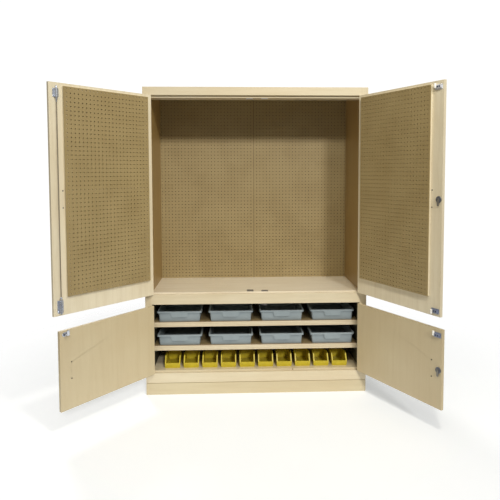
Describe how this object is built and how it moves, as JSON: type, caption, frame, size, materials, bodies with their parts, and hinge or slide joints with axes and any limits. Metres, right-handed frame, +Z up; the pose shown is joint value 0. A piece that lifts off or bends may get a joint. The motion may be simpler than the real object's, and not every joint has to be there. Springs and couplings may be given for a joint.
{
  "type": "tool cabinet",
  "caption": "Free-standing maple tool cabinet with hinged upper and lower doors, pegboard linings, sliding trays on shelves and a row of open-front parts bins.",
  "frame": {"origin": "centre of the plinth's footprint, on the floor", "axes": "+X to the right seen from the front, +Y from the face frame to the back, +Z up; the doors open towards -Y and stand open at rest as pictured"},
  "size_m": [2.2608, 1.2091, 2.106],
  "materials": {
    "maple": "clear satin lacquer over pale maple veneer",
    "softwood": "raw sawn",
    "plywood_back": "raw sanded",
    "dark_lining": "dull near-black stain",
    "hardboard": "smooth tempered hardboard",
    "nickel_steel": "satin nickel plate",
    "zinc_steel": "bright zinc plate",
    "dark_steel": "satin dark grey",
    "tray_plastic": "fine matt grain",
    "bin_plastic": "low gloss moulded"
  },
  "bodies": {
    "case": {"plinth": "maple", "face_frame": "maple", "case_sides": "maple", "upper_linings": "maple", "lower_linings": "dark_lining", "battens": "softwood", "bottom_deck": "maple", "work_deck": "maple", "head_stretcher": "maple", "top_board": "maple", "back_pegboards": "hardboard", "back_panel": "plywood_back", "shelves": "maple", "shelf_nosings": "maple", "frame_hinge_leaves": "nickel_steel", "hinge_pins": "nickel_steel", "strikes": "zinc_steel"},
    "upper_left_leaf": {"upper_left_door": "maple", "upper_left_pegboard": "hardboard", "upper_left_hinge_leaves": "nickel_steel", "upper_left_pull": "nickel_steel", "bolt_cases": "zinc_steel"},
    "upper_right_leaf": {"upper_right_door": "maple", "upper_right_pegboard": "hardboard", "upper_right_hinge_leaves": "nickel_steel", "upper_right_pull": "nickel_steel", "upper_lock": "dark_steel", "upper_right_catches": "zinc_steel"},
    "lower_left_leaf": {"lower_left_door": "maple", "lower_left_hinge_leaves": "nickel_steel", "lower_left_pull": "nickel_steel", "elbow_base": "dark_steel"},
    "lower_right_leaf": {"lower_right_door": "maple", "lower_right_hinge_leaves": "nickel_steel", "lower_right_pull": "nickel_steel", "lower_lock": "dark_steel", "lower_right_catch": "zinc_steel"},
    "top_bolt": {"top_bolt": "zinc_steel"},
    "bottom_bolt": {"bottom_bolt": "zinc_steel"},
    "upper_cam": {"upper_cam": "zinc_steel"},
    "lower_cam": {"lower_cam": "zinc_steel"},
    "elbow_lever": {"elbow_lever": "zinc_steel"},
    "upper_tray_1": {"upper_tray_1": "tray_plastic"},
    "upper_tray_2": {"upper_tray_2": "tray_plastic"},
    "upper_tray_3": {"upper_tray_3": "tray_plastic"},
    "upper_tray_4": {"upper_tray_4": "tray_plastic"},
    "lower_tray_1": {"lower_tray_1": "tray_plastic"},
    "lower_tray_2": {"lower_tray_2": "tray_plastic"},
    "lower_tray_3": {"lower_tray_3": "tray_plastic"},
    "lower_tray_4": {"lower_tray_4": "tray_plastic"},
    "bin_1": {"bin_1": "bin_plastic"},
    "bin_2": {"bin_2": "bin_plastic"},
    "bin_3": {"bin_3": "bin_plastic"},
    "bin_4": {"bin_4": "bin_plastic"},
    "bin_5": {"bin_5": "bin_plastic"},
    "bin_6": {"bin_6": "bin_plastic"},
    "bin_7": {"bin_7": "bin_plastic"},
    "bin_8": {"bin_8": "bin_plastic"},
    "bin_9": {"bin_9": "bin_plastic"},
    "bin_10": {"bin_10": "bin_plastic"}
  },
  "joints": [
    {"name": "upper_left_hinge", "type": "hinge", "parent": "case", "child": "upper_left_leaf", "pos_m": [-0.716, -0.2835, 1.3755], "axis": [0, 0, -1], "range_deg": [-133.35, 41.65]},
    {"name": "upper_right_hinge", "type": "hinge", "parent": "case", "child": "upper_right_leaf", "pos_m": [0.716, -0.2835, 1.3755], "axis": [0, 0, 1], "range_deg": [-117.15, 57.85]},
    {"name": "lower_left_hinge", "type": "hinge", "parent": "case", "child": "lower_left_leaf", "pos_m": [-0.716, -0.2835, 0.3905], "axis": [0, 0, -1], "range_deg": [-129.1, 45.9]},
    {"name": "lower_right_hinge", "type": "hinge", "parent": "case", "child": "lower_right_leaf", "pos_m": [0.716, -0.2835, 0.3905], "axis": [0, 0, 1], "range_deg": [-118.8, 56.2]},
    {"name": "top_bolt_slide", "type": "slide", "parent": "upper_left_leaf", "child": "top_bolt", "axis": [0, 0, -1], "range_m": [-0.025, 0]},
    {"name": "bottom_bolt_slide", "type": "slide", "parent": "upper_left_leaf", "child": "bottom_bolt", "axis": [0, 0, 1], "range_m": [-0.025, 0]},
    {"name": "upper_cam_turn", "type": "hinge", "parent": "upper_right_leaf", "child": "upper_cam", "pos_m": [1.00443, -0.91102, 1.377], "axis": [0.8898, 0.4563, 0], "range_deg": [-90, 0]},
    {"name": "lower_cam_turn", "type": "hinge", "parent": "lower_right_leaf", "child": "lower_cam", "pos_m": [1.02238, -0.90246, 0.385], "axis": [0.8763, 0.4818, 0], "range_deg": [-90, 0]},
    {"name": "elbow_lever_turn", "type": "hinge", "parent": "lower_left_leaf", "child": "elbow_lever", "pos_m": [-1.11977, -0.82902, 0.605], "axis": [0.6307, 0.776, 0], "range_deg": [0, 25], "stiffness_Nm_per_rad": 0.02, "springref_deg": -34.38},
    {"name": "upper_tray_1_slide", "type": "slide", "parent": "case", "child": "upper_tray_1", "axis": [0, -1, 0], "range_m": [0, 0.2]},
    {"name": "upper_tray_2_slide", "type": "slide", "parent": "case", "child": "upper_tray_2", "axis": [0, -1, 0], "range_m": [0, 0.2]},
    {"name": "upper_tray_3_slide", "type": "slide", "parent": "case", "child": "upper_tray_3", "axis": [0, -1, 0], "range_m": [0, 0.2]},
    {"name": "upper_tray_4_slide", "type": "slide", "parent": "case", "child": "upper_tray_4", "axis": [0, -1, 0], "range_m": [0, 0.2]},
    {"name": "lower_tray_1_slide", "type": "slide", "parent": "case", "child": "lower_tray_1", "axis": [0, -1, 0], "range_m": [0, 0.2]},
    {"name": "lower_tray_2_slide", "type": "slide", "parent": "case", "child": "lower_tray_2", "axis": [0, -1, 0], "range_m": [0, 0.2]},
    {"name": "lower_tray_3_slide", "type": "slide", "parent": "case", "child": "lower_tray_3", "axis": [0, -1, 0], "range_m": [0, 0.2]},
    {"name": "lower_tray_4_slide", "type": "slide", "parent": "case", "child": "lower_tray_4", "axis": [0, -1, 0], "range_m": [0, 0.2]},
    {"name": "bin_1_slide", "type": "slide", "parent": "case", "child": "bin_1", "axis": [0, -1, 0], "range_m": [0, 0.12]},
    {"name": "bin_2_slide", "type": "slide", "parent": "case", "child": "bin_2", "axis": [0, -1, 0], "range_m": [0, 0.12]},
    {"name": "bin_3_slide", "type": "slide", "parent": "case", "child": "bin_3", "axis": [0, -1, 0], "range_m": [0, 0.12]},
    {"name": "bin_4_slide", "type": "slide", "parent": "case", "child": "bin_4", "axis": [0, -1, 0], "range_m": [0, 0.12]},
    {"name": "bin_5_slide", "type": "slide", "parent": "case", "child": "bin_5", "axis": [0, -1, 0], "range_m": [0, 0.12]},
    {"name": "bin_6_slide", "type": "slide", "parent": "case", "child": "bin_6", "axis": [0, -1, 0], "range_m": [0, 0.12]},
    {"name": "bin_7_slide", "type": "slide", "parent": "case", "child": "bin_7", "axis": [0, -1, 0], "range_m": [0, 0.12]},
    {"name": "bin_8_slide", "type": "slide", "parent": "case", "child": "bin_8", "axis": [0, -1, 0], "range_m": [0, 0.12]},
    {"name": "bin_9_slide", "type": "slide", "parent": "case", "child": "bin_9", "axis": [0, -1, 0], "range_m": [0, 0.12]},
    {"name": "bin_10_slide", "type": "slide", "parent": "case", "child": "bin_10", "axis": [0, -1, 0], "range_m": [0, 0.12]}
  ]
}
